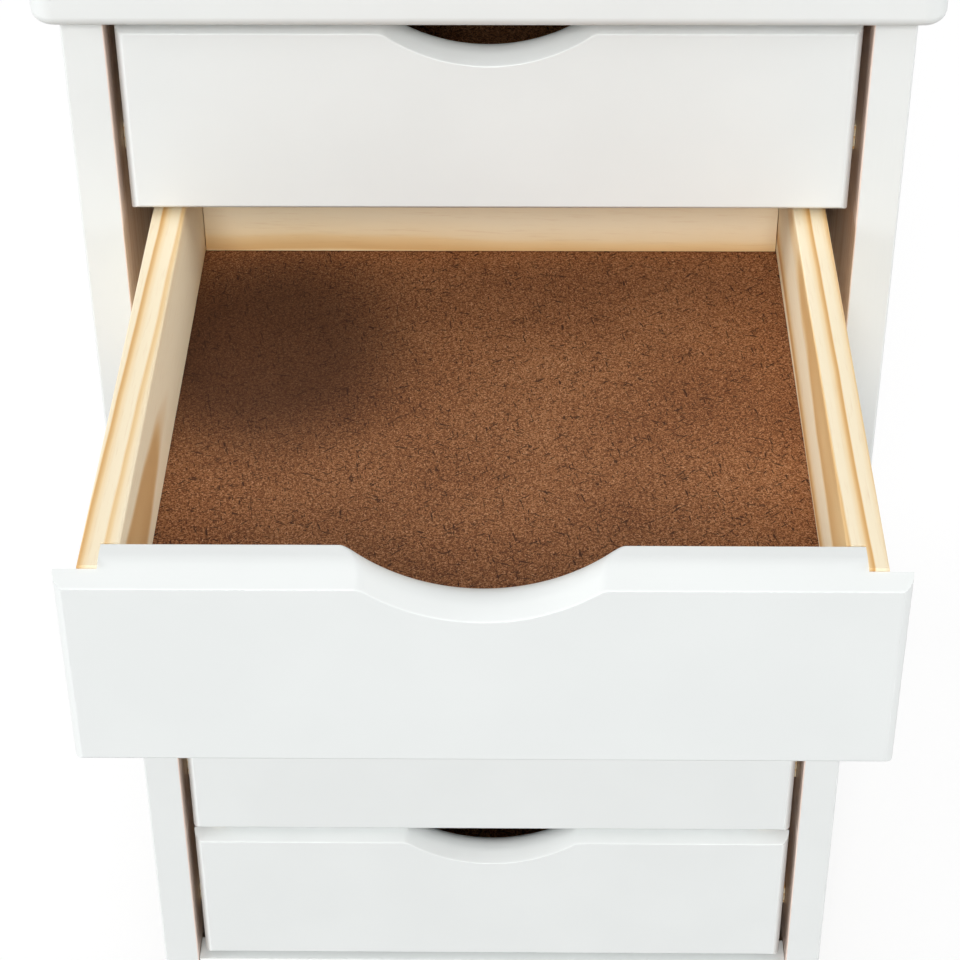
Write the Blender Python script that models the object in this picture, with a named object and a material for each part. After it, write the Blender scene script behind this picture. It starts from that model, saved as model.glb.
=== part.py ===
"""Rolling drawer cabinet: painted pine case, inset drawers on wooden runners, four swivel casters."""

import math

import bmesh
import bpy
from mathutils import Vector

# Sizes in metres. X runs across the cabinet, +Y to its back, +Z up.
CLEARANCE = 0.0003  # between pieces that touch or slide on each other

# Case
CABINET_WIDTH = 0.330  # outside the side panels
CABINET_DEPTH = 0.345  # front edge to back edge of a side panel
SIDE_PANEL_THICKNESS = 0.0168
TOP_THICKNESS = 0.020
TOP_OVERHANG = 0.010  # past the side panels and past their front edges
TOP_EDGE_RADIUS = 0.005
TOP_EDGE_STEPS = 3
BASE_BOARD_THICKNESS = 0.018
BASE_RAIL_HEIGHT = 0.034
BASE_RAIL_THICKNESS = 0.016
BACK_PANEL_THICKNESS = 0.003
BACK_REBATE_WIDTH = 0.008  # how far the back panel reaches into a side panel

# Drawer fronts
DRAWER_COUNT = 6
OPEN_DRAWER = 2  # the drawer that stands open, counted from the top
FRONT_HEIGHT = 0.0843
FRONT_THICKNESS = 0.0198
FRONT_GAP = 0.003  # above and below each front
FRONT_SIDE_GAP = 0.0032  # between a front and a side panel
ROUND_DEPTH = 0.008  # how far back the rounded edge of a front starts
ROUND_DROP = 0.0035  # how far it falls by the time it meets the face
ROUND_STEPS = 4
LIP_THICKNESS = 0.0078  # of the front's rebated ends
SCOOP_DEPTH = 0.0195
SCOOP_RADIUS = 0.068
SCOOP_CORNER_RADIUS = 0.005
SCOOP_STEPS = 16
SCOOP_CORNER_STEPS = 3

# Drawer boxes
REAR_SPACE = 0.045  # between a closed drawer and the back edge of the case
OPEN_LENGTH_INSIDE = 0.070  # of the open drawer, still between the side panels
BOX_SIDE_HEIGHT = 0.0763
BOX_SIDE_THICKNESS = 0.0133
BOX_BACK_THICKNESS = 0.0133
TONGUE_THICKNESS = 0.0072  # of a drawer side, where it laps into the front
INSIDE_HEIGHT = 0.0505  # drawer bottom to the top of the sides
BOTTOM_THICKNESS = 0.003
BOTTOM_GROOVE_DEPTH = 0.005

# Runners
RUNNER_SPACE = 0.0114  # between a drawer side and a side panel
RUNNER_HEIGHT = 0.011
RUNNER_BITE = 0.005  # how far a runner reaches into a drawer side
RUNNER_LIFT = 0.0095  # groove above the lower edge of the drawer side
RUNNER_SETBACK = 0.002  # behind the back of a closed front

# Casters
CASTER_SIDE_INSET = 0.052  # stem to the outside of the side panel
CASTER_END_INSET = 0.050  # stem to the front or back edge of the case
WHEEL_DIAMETER = 0.050
WHEEL_WIDTH = 0.018
WHEEL_EDGE = 0.002  # chamfer of the tread
HUB_RADIUS = 0.009
RIM_RADIUS = 0.019
RIM_RECESS = 0.003
WHEEL_SEGMENTS = 32
AXLE_DIAMETER = 0.006
AXLE_HEAD_DIAMETER = 0.011
AXLE_HEAD_THICKNESS = 0.002
FORK_THICKNESS = 0.0025
FORK_SIDE_GAP = 0.001  # between a leg and the wheel's tread
FORK_SKIRT = 0.006  # full width of the legs below the crown
FORK_REACH = 0.016  # of the crown, ahead of the stem and behind the axle
CROWN_THICKNESS = 0.003
CROWN_WHEEL_GAP = 0.003
BOSS_RADIUS = 0.008
CASTER_TRAIL = 0.018
NECK_DIAMETER = 0.024
NECK_HEIGHT = 0.008
STEM_DIAMETER = 0.010
STEM_LENGTH = 0.014
ROUND_SEGMENTS = 24
CUT_MARGIN = 0.002  # a cutter reaches this far past what it cuts
SMOOTH_ANGLE = math.radians(35)  # edges that bend less than this are shaded smooth

# Worked out from the sizes above, with Y = 0 at the front edges of the side panels
HALF_WIDTH = CABINET_WIDTH / 2
OPENING_HALF = HALF_WIDTH - SIDE_PANEL_THICKNESS
FRONT_HALF = OPENING_HALF - FRONT_SIDE_GAP
BOX_HALF = OPENING_HALF - RUNNER_SPACE
INSIDE_HALF = BOX_HALF - BOX_SIDE_THICKNESS
SHOULDER_HALF = BOX_HALF - TONGUE_THICKNESS
DRAWER_DEPTH = CABINET_DEPTH - REAR_SPACE
OPEN_PULL = DRAWER_DEPTH - OPEN_LENGTH_INSIDE
BOX_LOW = FRONT_HEIGHT - BOX_SIDE_HEIGHT
BOTTOM_HIGH = FRONT_HEIGHT - INSIDE_HEIGHT
BOTTOM_LOW = BOTTOM_HIGH - BOTTOM_THICKNESS
RUNNER_LOW = BOX_LOW + RUNNER_LIFT + CLEARANCE
RUNNER_FRONT = FRONT_THICKNESS + RUNNER_SETBACK
BACK_PANEL_FACE = CABINET_DEPTH - BACK_PANEL_THICKNESS
FRONT_PITCH = FRONT_HEIGHT + FRONT_GAP
CROWN_LOW = WHEEL_DIAMETER + CROWN_WHEEL_GAP
CROWN_HIGH = CROWN_LOW + CROWN_THICKNESS
CASE_LOW = CROWN_HIGH + NECK_HEIGHT
LOWEST_FRONT = CASE_LOW + BASE_RAIL_HEIGHT + FRONT_GAP
CASE_HIGH = LOWEST_FRONT + DRAWER_COUNT * FRONT_PITCH
FORK_INNER_HALF = WHEEL_WIDTH / 2 + FORK_SIDE_GAP
FORK_OUTER_HALF = FORK_INNER_HALF + FORK_THICKNESS
SIDES = {"left": -1, "right": 1}
ENDS = {"front": CASTER_END_INSET, "rear": CABINET_DEPTH - CASTER_END_INSET}


def clear_scene():
    for thing in list(bpy.data.objects):
        bpy.data.objects.remove(thing)


def material(name, colour, roughness, metallic=0.0):
    made = bpy.data.materials.new(name)
    made.use_nodes = True
    shader = made.node_tree.nodes["Principled BSDF"]
    shader.inputs["Base Color"].default_value = (*colour, 1.0)
    shader.inputs["Roughness"].default_value = roughness
    shader.inputs["Metallic"].default_value = metallic
    return made


def to_mesh(bm):
    bmesh.ops.recalc_face_normals(bm, faces=bm.faces)
    mesh = bpy.data.meshes.new("shape")
    bm.to_mesh(mesh)
    bm.free()
    return mesh


def blocks(*boxes):
    """One closed box for each pair of opposite corners."""
    bm = bmesh.new()
    for first, second in boxes:
        size = Vector(second) - Vector(first)
        corners = bmesh.ops.create_cube(bm, size=1.0)["verts"]
        bmesh.ops.scale(bm, vec=[abs(side) for side in size], verts=corners)
        bmesh.ops.translate(bm, vec=Vector(first) + size / 2, verts=corners)
    return to_mesh(bm)


def loft(rings, joined_ends=False):
    """Rings of points bridged in turn, with the ends capped, or joined to each other as on a wheel."""
    bm = bmesh.new()
    loops = [[bm.verts.new(point) for point in ring] for ring in rings]
    pairs = list(zip(loops, loops[1:]))
    if joined_ends:
        pairs.append((loops[-1], loops[0]))
    else:
        bm.faces.new(loops[0])
        bm.faces.new(loops[-1])
    for lower, upper in pairs:
        for i in range(len(lower)):
            bm.faces.new((lower[i - 1], lower[i], upper[i], upper[i - 1]))
    return to_mesh(bm)


def prism(outline, axis, low, high):
    """The outline, drawn across the axis, carried along it from low to high."""
    place = "XYZ".index(axis)
    return loft([[(*p[:place], along, *p[place:]) for p in outline] for along in (low, high)])


def turned(profile, segments, joined_ends=False):
    """The profile of (x, radius) points carried round the X axis, with a flat facing down."""
    angles = [math.tau * (i + 0.5) / segments for i in range(segments)]
    corner = 1 / math.cos(math.pi / segments)
    rings = []
    for x, radius in profile:
        reach = radius * corner
        rings.append([(x, reach * math.sin(a), reach * math.cos(a)) for a in angles])
    return loft(rings, joined_ends)


def arc(centre, radius, start, stop, steps):
    """Points along an arc, with both ends, for angles in radians from the first axis to the second."""
    angles = [start + (stop - start) * i / steps for i in range(steps + 1)]
    return [(centre[0] + radius * math.cos(a), centre[1] + radius * math.sin(a)) for a in angles]


def circle(centre, radius):
    return arc(centre, radius, 0, math.tau, ROUND_SEGMENTS)[:-1]


def carved(body, *steps):
    """The body after each (operation, tool) step of an exact Boolean."""
    stock = bpy.data.objects.new("stock", body)
    helpers = [stock]
    for operation, tool in steps:
        helper = bpy.data.objects.new("tool", tool)
        cut = stock.modifiers.new("cut", "BOOLEAN")
        cut.operation = operation
        cut.solver = "EXACT"
        cut.object = helper
        helpers.append(helper)
    for helper in helpers:
        bpy.context.scene.collection.objects.link(helper)
    bpy.context.view_layer.update()
    graph = bpy.context.evaluated_depsgraph_get()
    result = bpy.data.meshes.new_from_object(stock.evaluated_get(graph))
    for helper in helpers:
        bpy.data.objects.remove(helper)
    return result


def smooth(mesh):
    mesh.shade_smooth()
    mesh.set_sharp_from_angle(angle=SMOOTH_ANGLE)
    return mesh


def pivot(name, parent, place):
    """An empty that a moving body hangs from."""
    empty = bpy.data.objects.new(name, None)
    empty.parent = parent
    empty.location = place
    bpy.context.scene.collection.objects.link(empty)
    return empty


def piece(name, mesh, finish, parent, place=(0, 0, 0)):
    if not mesh.materials:
        mesh.materials.append(finish)
    made = bpy.data.objects.new(name, mesh)
    made.parent = parent
    made.location = place
    bpy.context.scene.collection.objects.link(made)
    return made


def front_blank():
    """A drawer front before its cuts: the four edges of its face rounded over in an arc."""
    radius = (ROUND_DEPTH**2 + ROUND_DROP**2) / (2 * ROUND_DROP)
    levels = []
    for i in range(ROUND_STEPS + 1):
        y = ROUND_DEPTH * i / ROUND_STEPS
        levels.append((y, radius - math.sqrt(radius**2 - (ROUND_DEPTH - y) ** 2)))
    levels.append((FRONT_THICKNESS, 0.0))
    rings = []
    for y, inset in levels:
        x, low, high = FRONT_HALF - inset, inset, FRONT_HEIGHT - inset
        rings.append([(-x, y, low), (x, y, low), (x, y, high), (-x, y, high)])
    return loft(rings)


def scoop_tool():
    """The finger scoop: a round hollow in the top edge, with a small arc at each of its two corners."""
    rise = SCOOP_RADIUS - SCOOP_DEPTH
    centre = (0, FRONT_HEIGHT + rise)
    reach = SCOOP_RADIUS + SCOOP_CORNER_RADIUS
    lean = math.acos((rise + SCOOP_CORNER_RADIUS) / reach)
    corner = (reach * math.sin(lean), FRONT_HEIGHT - SCOOP_CORNER_RADIUS)
    down = -math.pi / 2
    hollow = arc(centre, SCOOP_RADIUS, down - lean, down + lean, SCOOP_STEPS)
    right = arc(corner, SCOOP_CORNER_RADIUS, math.pi / 2 + lean, math.pi / 2, SCOOP_CORNER_STEPS)[1:]
    slope = Vector(right[-1]) - Vector(right[-2])
    right.append(tuple(Vector(right[-1]) + slope * (CUT_MARGIN / slope.length)))
    left = [(-x, z) for x, z in reversed(right)]
    lid = centre[1]
    outline = left + hollow + right + [(right[-1][0], lid), (left[0][0], lid)]
    return prism(outline, "Y", -CUT_MARGIN, FRONT_THICKNESS + CUT_MARGIN)


def drawer_front():
    past_end = FRONT_HALF + CUT_MARGIN
    past_back = FRONT_THICKNESS + CUT_MARGIN
    rebates = [
        (
            (side * SHOULDER_HALF, LIP_THICKNESS, -CUT_MARGIN),
            (side * past_end, past_back, FRONT_HEIGHT + CUT_MARGIN),
        )
        for side in SIDES.values()
    ]
    groove_half = INSIDE_HALF + BOTTOM_GROOVE_DEPTH
    groove = (
        (-groove_half, FRONT_THICKNESS - BOTTOM_GROOVE_DEPTH, BOTTOM_LOW - CLEARANCE),
        (groove_half, past_back, BOTTOM_HIGH + CLEARANCE),
    )
    return smooth(
        carved(
            front_blank(),
            ("DIFFERENCE", scoop_tool()),
            ("DIFFERENCE", blocks(*rebates)),
            ("DIFFERENCE", blocks(groove)),
        )
    )


def drawer_side(side):
    """A side with its tongue, its groove for the drawer bottom and its stopped groove for the runner."""
    board = (
        (side * BOX_HALF, LIP_THICKNESS + CLEARANCE, BOX_LOW),
        (side * INSIDE_HALF, DRAWER_DEPTH, FRONT_HEIGHT),
    )
    past_back = DRAWER_DEPTH + CUT_MARGIN
    tongue_half = SHOULDER_HALF + CLEARANCE
    notch = (
        (side * tongue_half, LIP_THICKNESS - CUT_MARGIN, BOX_LOW - CUT_MARGIN),
        (side * (INSIDE_HALF - CUT_MARGIN), FRONT_THICKNESS + CLEARANCE, FRONT_HEIGHT + CUT_MARGIN),
    )
    bottom_groove = (
        (side * (INSIDE_HALF - CUT_MARGIN), LIP_THICKNESS - CUT_MARGIN, BOTTOM_LOW - CLEARANCE),
        (side * (INSIDE_HALF + BOTTOM_GROOVE_DEPTH), past_back, BOTTOM_HIGH + CLEARANCE),
    )
    runner_groove = (
        (side * (BOX_HALF + CUT_MARGIN), RUNNER_FRONT - CLEARANCE, RUNNER_LOW - CLEARANCE),
        (
            side * (BOX_HALF - RUNNER_BITE - CLEARANCE),
            past_back,
            RUNNER_LOW + RUNNER_HEIGHT + CLEARANCE,
        ),
    )
    return carved(
        blocks(board),
        ("DIFFERENCE", blocks(notch)),
        ("DIFFERENCE", blocks(bottom_groove)),
        ("DIFFERENCE", blocks(runner_groove)),
    )


def drawer_back():
    half = INSIDE_HALF - CLEARANCE
    low = (-half, DRAWER_DEPTH - BOX_BACK_THICKNESS, BOTTOM_HIGH + CLEARANCE)
    return blocks((low, (half, DRAWER_DEPTH, FRONT_HEIGHT)))


def drawer_bottom():
    half = INSIDE_HALF + BOTTOM_GROOVE_DEPTH - CLEARANCE
    low = (-half, FRONT_THICKNESS - BOTTOM_GROOVE_DEPTH + CLEARANCE, BOTTOM_LOW)
    return blocks((low, (half, DRAWER_DEPTH, BOTTOM_HIGH)))


def runner(side):
    low = (side * (BOX_HALF - RUNNER_BITE), RUNNER_FRONT, RUNNER_LOW)
    high = (side * (OPENING_HALF - CLEARANCE), BACK_PANEL_FACE - CLEARANCE, RUNNER_LOW + RUNNER_HEIGHT)
    return blocks((low, high))


def side_panel(side):
    """A board with a rebate along its inner back edge for the back panel."""
    rebate = BACK_PANEL_FACE - CLEARANCE
    rebate_half = OPENING_HALF + BACK_REBATE_WIDTH
    outline = [
        (side * HALF_WIDTH, 0),
        (side * HALF_WIDTH, CABINET_DEPTH),
        (side * rebate_half, CABINET_DEPTH),
        (side * rebate_half, rebate),
        (side * OPENING_HALF, rebate),
        (side * OPENING_HALF, 0),
    ]
    return prism(outline, "Z", CASE_LOW, CASE_HIGH)


def top_panel():
    half = HALF_WIDTH + TOP_OVERHANG
    low = CASE_HIGH + CLEARANCE
    return blocks(((-half, -TOP_OVERHANG, low), (half, CABINET_DEPTH, low + TOP_THICKNESS)))


def back_panel():
    half = OPENING_HALF + BACK_REBATE_WIDTH - CLEARANCE
    return blocks(((-half, BACK_PANEL_FACE, CASE_LOW), (half, CABINET_DEPTH, CASE_HIGH)))


def base_board():
    """The board under the drawers, with a blind hole for each caster stem."""
    half = OPENING_HALF - CLEARANCE
    low = (-half, BASE_RAIL_THICKNESS + CLEARANCE, CASE_LOW)
    high = (half, BACK_PANEL_FACE - CLEARANCE, CASE_LOW + BASE_BOARD_THICKNESS)
    hole_top = CASE_LOW + STEM_LENGTH + CLEARANCE
    holes = [
        prism(circle((x, y), STEM_DIAMETER / 2 + CLEARANCE), "Z", CASE_LOW - CUT_MARGIN, hole_top)
        for _, x, y in caster_places()
    ]
    return smooth(carved(blocks((low, high)), *[("DIFFERENCE", hole) for hole in holes]))


def base_rail():
    half = OPENING_HALF - CLEARANCE
    return blocks(((-half, 0, CASE_LOW), (half, BASE_RAIL_THICKNESS, CASE_LOW + BASE_RAIL_HEIGHT)))


def caster_places():
    """(name, x, y) of each caster stem."""
    reach = HALF_WIDTH - CASTER_SIDE_INSET
    return [(f"caster_{end}_{hand}", SIDES[hand] * reach, ENDS[end]) for end in ENDS for hand in SIDES]


def caster_fork():
    """Two legs under a crown, with the neck and stem that turn in the base board."""
    axle = (CASTER_TRAIL, WHEEL_DIAMETER / 2)
    ahead, behind = -FORK_REACH, CASTER_TRAIL + FORK_REACH
    skirt = CROWN_LOW - FORK_SKIRT
    boss = arc(axle, BOSS_RADIUS, math.pi, math.tau, ROUND_SEGMENTS // 2)
    outline = [(ahead, CROWN_HIGH), (ahead, skirt)] + boss + [(behind, skirt), (behind, CROWN_HIGH)]
    between = (
        (-FORK_INNER_HALF, ahead - CUT_MARGIN, axle[1] - BOSS_RADIUS - CUT_MARGIN),
        (FORK_INNER_HALF, behind + CUT_MARGIN, CROWN_LOW),
    )
    middle = CROWN_LOW + CROWN_THICKNESS / 2
    neck_top = CASE_LOW - CLEARANCE
    neck = prism(circle((0, 0), NECK_DIAMETER / 2), "Z", middle, neck_top)
    stem = prism(circle((0, 0), STEM_DIAMETER / 2), "Z", middle, CASE_LOW + STEM_LENGTH)
    hole_reach = FORK_OUTER_HALF + CUT_MARGIN
    hole = prism(circle(axle, AXLE_DIAMETER / 2 + CLEARANCE), "X", -hole_reach, hole_reach)
    return smooth(
        carved(
            prism(outline, "X", -FORK_OUTER_HALF, FORK_OUTER_HALF),
            ("DIFFERENCE", blocks(between)),
            ("UNION", neck),
            ("UNION", stem),
            ("DIFFERENCE", hole),
        )
    )


def caster_wheel():
    """A turned wheel: hub, recessed web, rim and tread with chamfered edges."""
    half, tread = WHEEL_WIDTH / 2, WHEEL_DIAMETER / 2
    hub = FORK_INNER_HALF - CLEARANCE
    web = half - RIM_RECESS
    right = [
        (hub, AXLE_DIAMETER / 2 + CLEARANCE),
        (hub, HUB_RADIUS),
        (web, HUB_RADIUS),
        (web, RIM_RADIUS),
        (half, RIM_RADIUS),
        (half, tread - WHEEL_EDGE),
        (half - WHEEL_EDGE, tread),
    ]
    left = [(-x, radius) for x, radius in reversed(right)]
    return smooth(turned(right + left, WHEEL_SEGMENTS, joined_ends=True))


def caster_axle():
    """A pin with a flat head outside each leg."""
    inner = FORK_OUTER_HALF + CLEARANCE
    outer = inner + AXLE_HEAD_THICKNESS
    head, shaft = AXLE_HEAD_DIAMETER / 2, AXLE_DIAMETER / 2
    right = [(inner, shaft), (inner, head), (outer, head)]
    left = [(-x, radius) for x, radius in reversed(right)]
    return smooth(turned(left + right, ROUND_SEGMENTS))


def build_case(case, paint, pine, hardboard):
    for hand, side in SIDES.items():
        piece(f"{hand}_side_panel", side_panel(side), paint, case)
    top = piece("top_panel", top_panel(), paint, case)
    rounding = top.modifiers.new("rounded edges", "BEVEL")
    rounding.width = TOP_EDGE_RADIUS
    rounding.segments = TOP_EDGE_STEPS
    piece("back_panel", back_panel(), hardboard, case)
    piece("base_board", base_board(), pine, case)
    piece("base_rail", base_rail(), paint, case)


def build_drawers(case, paint, pine, hardboard):
    front, back, bottom = drawer_front(), drawer_back(), drawer_bottom()
    box_sides = {hand: drawer_side(side) for hand, side in SIDES.items()}
    runners = {hand: runner(side) for hand, side in SIDES.items()}
    for number in range(1, DRAWER_COUNT + 1):
        height = LOWEST_FRONT + (DRAWER_COUNT - number) * FRONT_PITCH
        pull = OPEN_PULL if number == OPEN_DRAWER else 0
        slide = pivot(f"drawer_{number}_slide", case, (0, -pull, height))
        piece(f"drawer_{number}_front", front, paint, slide)
        piece(f"drawer_{number}_back", back, pine, slide)
        piece(f"drawer_{number}_bottom", bottom, hardboard, slide)
        for hand in SIDES:
            piece(f"drawer_{number}_{hand}_side", box_sides[hand], pine, slide)
            piece(f"runner_{number}_{hand}", runners[hand], pine, case, (0, 0, height))


def build_casters(case, steel, tyre):
    fork, wheel, axle = caster_fork(), caster_wheel(), caster_axle()
    for name, x, y in caster_places():
        swivel = pivot(f"{name}_swivel", case, (x, y, 0))
        axis = (0, CASTER_TRAIL, WHEEL_DIAMETER / 2)
        piece(f"{name}_fork", fork, steel, swivel)
        piece(f"{name}_wheel", wheel, tyre, swivel, axis)
        piece(f"{name}_axle", axle, steel, swivel, axis)


def main():
    clear_scene()
    paint = material("white_painted_pine", (0.86, 0.87, 0.86), 0.45)
    pine = material("natural_pine", (0.78, 0.56, 0.30), 0.55)
    hardboard = material("brown_hardboard", (0.17, 0.07, 0.03), 0.6)
    steel = material("zinc_plated_steel", (0.55, 0.56, 0.58), 0.35, 1.0)
    tyre = material("grey_rubber", (0.09, 0.09, 0.09), 0.6)
    # The origin lies on the floor under the middle of the whole object, open drawer included.
    case = pivot("cabinet", None, (0, (OPEN_PULL - CABINET_DEPTH) / 2, 0))
    build_case(case, paint, pine, hardboard)
    build_drawers(case, paint, pine, hardboard)
    build_casters(case, steel, tyre)


main()
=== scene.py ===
import math

import bmesh
import bpy
import numpy as np
from mathutils import Matrix, Vector


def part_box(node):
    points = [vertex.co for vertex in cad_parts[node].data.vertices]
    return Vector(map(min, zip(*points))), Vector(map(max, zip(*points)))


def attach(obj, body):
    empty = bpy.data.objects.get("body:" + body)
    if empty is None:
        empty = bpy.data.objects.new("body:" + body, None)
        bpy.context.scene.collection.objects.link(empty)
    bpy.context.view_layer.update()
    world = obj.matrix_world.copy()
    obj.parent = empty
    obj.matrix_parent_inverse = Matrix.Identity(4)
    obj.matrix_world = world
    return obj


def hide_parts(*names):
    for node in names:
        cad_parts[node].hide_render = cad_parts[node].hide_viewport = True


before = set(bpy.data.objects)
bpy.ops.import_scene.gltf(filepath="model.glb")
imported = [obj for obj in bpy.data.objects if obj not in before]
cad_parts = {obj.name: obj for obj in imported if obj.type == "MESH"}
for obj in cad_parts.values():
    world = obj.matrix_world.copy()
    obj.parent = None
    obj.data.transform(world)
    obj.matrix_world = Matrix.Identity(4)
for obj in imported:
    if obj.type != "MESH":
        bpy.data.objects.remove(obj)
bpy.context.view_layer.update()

drawerNumbers = range(1, 7)
openDrawer = 2
hands = {"left": -1, "right": 1}
ends = ("front", "rear")
quarterTurn = math.pi / 2
smoothAngle = math.radians(32)  # edges that bend more than this stay crisp
weldDistance = 1e-7
hair = 1e-6  # less than any step between stations
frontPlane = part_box("left_side_panel")[0].y  # front edges of the side panels
openingHalf = -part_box("left_side_panel")[1].x  # middle to the inside of a side panel


# sRGB hex to the linear colour that shaders use
def linear(hexColour):
    srgb = np.array([int(hexColour[i:i + 2], 16) for i in (1, 3, 5)]) / 255
    light = np.where(srgb <= 0.04045, srgb / 12.92, ((srgb + 0.055) / 1.055) ** 2.4)
    return (*light.tolist(), 1.0)


# One shader node with its settings; an input that is a socket is linked, any other is set
def addNode(tree, kind, inputs=None, stops=None, **settings):
    node = tree.nodes.new("ShaderNode" + kind)
    for name, value in settings.items():
        setattr(node, name, value)
    for key, value in (inputs or {}).items():
        if isinstance(value, bpy.types.NodeSocket):
            tree.links.new(value, node.inputs[key])
        else:
            node.inputs[key].default_value = value
    if stops:
        ramp = node.color_ramp.elements
        ramp[0].position, ramp[0].color = stops[0]
        ramp[1].position, ramp[1].color = stops[-1]
        for place, colour in stops[1:-1]:
            ramp.new(place).color = colour
    return node.outputs


def newMaterial(name, **constants):
    made = bpy.data.materials.new(name)
    made.use_nodes = True
    shader = made.node_tree.nodes["Principled BSDF"]
    for socket, value in constants.items():
        shader.inputs[socket.replace("_", " ")].default_value = value
    return made, made.node_tree, shader


# Links patterns to the shader's inputs
def connect(tree, shader, patterns):
    for name, pattern in patterns.items():
        tree.links.new(pattern, shader.inputs[name])


# White satin enamel sprayed on planed pine: even and pale, with the grain just felt through the film
# and a slight orange peel. Inside the case only a trace of it lies on the bare, pinkish wood.
paintLook = {
    "tones": ((0.35, "#e8ebea"), (0.65, "#eaedec")),
    "cloud": 0.045,  # metres across the faint tone patches
    "grainAlong": 0.080, "grainAcross": 0.0024,  # ridges of the wood under the film
    "peel": 0.0016,  # orange peel of the spray
    "rough": {"To Min": 0.40, "To Max": 0.45},
    "ridgeBump": {"Strength": 0.10, "Distance": 0.0004}, "peelBump": {"Strength": 0.05, "Distance": 0.0002},
    "bareTones": ((0.38, "#e6c7b6"), (0.6, "#f8e0d2")),
    "bareFrom": 0.0007, "bareWhole": 0.0002,  # from the plane of the inner face
    "sprayFrom": 0.050, "sprayReach": 0.140, "sprayDrift": 0.03,  # behind the front edge, and how it strays
    "bareShare": {"To Min": 0.85, "To Max": 0.95},
}


def whitePaint(name, grain, inside=False):
    made, tree, shader = newMaterial(name, IOR=1.47)
    at = addNode(tree, "TexCoord")["Object"]
    steps = [1 / paintLook["grainAcross"]] * 3
    steps["xyz".index(grain)] = 1 / paintLook["grainAlong"]
    along = addNode(tree, "Mapping", {"Vector": at, "Scale": steps})[0]
    ridges = addNode(tree, "TexNoise", {"Vector": along, "Scale": 1.0, "Detail": 2.0})[0]
    peel = addNode(tree, "TexNoise", {"Vector": at, "Scale": 1 / paintLook["peel"], "Detail": 1.0})[0]
    cloud = addNode(tree, "TexNoise", {"Vector": at, "Scale": 1 / paintLook["cloud"], "Detail": 2.0})[0]
    colour = addNode(tree, "ValToRGB", {"Fac": cloud}, [(p, linear(tone)) for p, tone in paintLook["tones"]])[0]
    if inside:
        # bare wood on the inner face of a side panel, a little less so near the front
        split = addNode(tree, "SeparateXYZ", {"Vector": at})
        across = addNode(tree, "Math", {0: split["X"]}, operation="ABSOLUTE")[0]
        inner = addNode(tree, "MapRange", {
            "Value": across, "From Min": openingHalf + paintLook["bareFrom"],
            "From Max": openingHalf + paintLook["bareWhole"]}, interpolation_type="SMOOTHSTEP")[0]
        drift = addNode(tree, "Math", {0: ridges, 1: paintLook["sprayDrift"], 2: split["Y"]},
                        operation="MULTIPLY_ADD")[0]
        thin = addNode(tree, "MapRange", {
            "Value": drift, "From Min": frontPlane + paintLook["sprayFrom"],
            "From Max": frontPlane + paintLook["sprayReach"], **paintLook["bareShare"]},
            interpolation_type="SMOOTHSTEP")[0]
        wood = addNode(tree, "ValToRGB", {"Fac": ridges},
                       [(p, linear(tone)) for p, tone in paintLook["bareTones"]])[0]
        share = addNode(tree, "Math", {0: inner, 1: thin}, operation="MULTIPLY")[0]
        colour = addNode(tree, "Mix", {0: share, 6: colour, 7: wood}, data_type="RGBA")[2]
    rough = addNode(tree, "MapRange", {"Value": cloud, **paintLook["rough"]})[0]
    felt = addNode(tree, "Bump", {"Height": ridges, **paintLook["ridgeBump"]})[0]
    skin = addNode(tree, "Bump", {"Height": peel, "Normal": felt, **paintLook["peelBump"]})[0]
    connect(tree, shader, {"Base Color": colour, "Roughness": rough, "Normal": skin})
    return made


# Planed radiata pine, unfinished: pale cream early wood that deepens to honey late wood and breaks off
# sharply at each year ring, with faint fibres along the board. The heart of the log is browner.
pineLook = {
    "tones": ((0.0, "#fceed0"), (0.35, "#f3d4a0"), (1.0, "#d8a25a")),  # early to late wood
    "fibre": "#cfa06a", "heart": "#d9b07a",
    "ring": 0.0046,  # metres from one ring to the next in slowly grown wood
    "year": ((0.0, 0.30), (0.05, 0.0), (0.45, 0.04), (0.70, 0.28), (0.88, 0.9), (0.95, 1.0), (1.0, 0.30)),
    "vigour": {"To Min": 0.45, "To Max": 1.0},  # share of late wood from year to year
    "heartRings": 12, "heartShare": 0.8, "heartEdge": 0.0003,
    "wander": 0.0008, "wanderAlong": 0.11, "wanderAcross": 0.035,  # how the rings stray
    "fibreAlong": 0.016, "fibreAcross": 0.0006,
    "fibreShare": {"From Min": 0.55, "From Max": 0.85, "To Max": 0.26},
    "rough": {"To Min": 0.62, "To Max": 0.45}, "bump": {"Strength": 0.15, "Distance": 0.0002},
    "stripPlace": (0, 0.05, 0.2),  # of a strip in its log
}


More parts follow.
